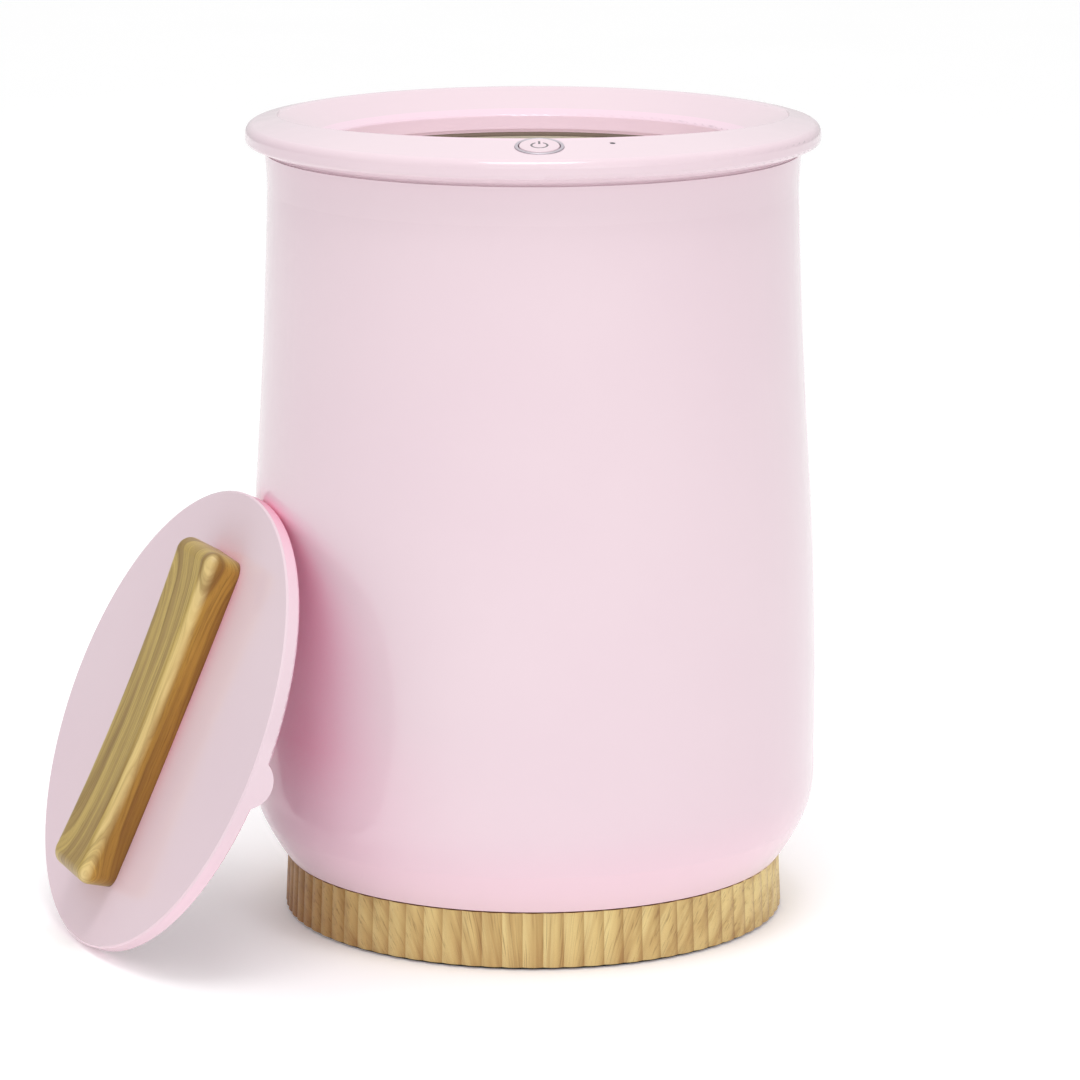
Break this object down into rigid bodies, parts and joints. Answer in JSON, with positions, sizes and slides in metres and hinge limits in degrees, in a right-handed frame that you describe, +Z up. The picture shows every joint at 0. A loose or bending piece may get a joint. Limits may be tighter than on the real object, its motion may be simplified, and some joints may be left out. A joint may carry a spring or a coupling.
{
  "type": "bucket towel warmer",
  "caption": "Round heated bucket on a fluted wooden base, with an open metal chamber, a power button on its rim and a loose lid with a wooden bar handle leaning on its side.",
  "frame": {"origin": "on the drum axis at the surface the warmer stands on", "axes": "+Z up along the drum axis; the control panel faces -Y; the lid leans on the -X, -Y side"},
  "size_m": [0.4126, 0.3322, 0.4273],
  "materials": {
    "pink_plastic": "glossy moulded ABS",
    "ring_wood": "satin bamboo",
    "handle_wood": "satin bamboo",
    "button_plastic": "glossy moulded ABS",
    "bezel_metal": "satin plated",
    "lens_plastic": "smoked clear",
    "chamber_metal": "anodised sheet",
    "liner_metal": "bare sheet",
    "black_rubber": "matt",
    "silicone": "matt",
    "insulation_cloth": "felted glass fibre",
    "strap_steel": "brushed",
    "screw_steel": "zinc plated",
    "pan_plastic": "moulded, fine texture",
    "inlet_plastic": "moulded",
    "board_laminate": "solder mask",
    "component_body": "moulded",
    "pin_brass": "nickel flash",
    "lead_sheath": "sleeved"
  },
  "bodies": {
    "drum": {"base_ring": "ring_wood", "base_ring_screws": "screw_steel", "board_capacitor": "component_body", "board_relay": "inlet_plastic", "board_transformer": "component_body", "bottom_pan": "pan_plastic", "button_bezel": "bezel_metal", "chamber_floor": "chamber_metal", "chamber_gasket": "silicone", "chamber_screws": "screw_steel", "chamber_spacers": "pan_plastic", "chamber_wall": "chamber_metal", "collar_screws": "screw_steel", "control_board": "board_laminate", "control_board_screws": "screw_steel", "control_lead": "lead_sheath", "earth_tag": "strap_steel", "floor_nuts": "screw_steel", "fuse_clip": "strap_steel", "heater_band": "silicone", "heater_lead": "lead_sheath", "heater_straps": "strap_steel", "indicator_led": "lens_plastic", "indicator_lens": "lens_plastic", "inlet_pins": "pin_brass", "insulation_blanket": "insulation_cloth", "live_lead": "lead_sheath", "neutral_lead": "lead_sheath", "non_slip_ring": "black_rubber", "outer_shell": "pink_plastic", "power_board": "board_laminate", "power_board_screws": "screw_steel", "power_inlet": "inlet_plastic", "tact_switch": "inlet_plastic", "temperature_sensor": "component_body", "terminal_block": "inlet_plastic", "thermal_fuse": "component_body", "thermostat": "component_body", "top_collar": "pink_plastic"},
    "lid": {"lid_cap": "pink_plastic", "lid_handle": "handle_wood", "lid_insulation": "insulation_cloth", "lid_liner": "liner_metal", "liner_screws": "screw_steel", "handle_washers": "screw_steel", "handle_screws": "screw_steel"},
    "button": {"power_button": "button_plastic", "switch_plunger": "inlet_plastic"}
  },
  "joints": [
    {"name": "lid_lift", "type": "slide", "parent": "drum", "child": "lid", "axis": [-0.4517, -0.2145, 0.866], "range_m": [0, 0.35]},
    {"name": "button_press", "type": "slide", "parent": "drum", "child": "button", "axis": [-0.005, 0.1913, -0.9815], "range_m": [0, 0.0005], "stiffness_N_per_m": 3000}
  ]
}
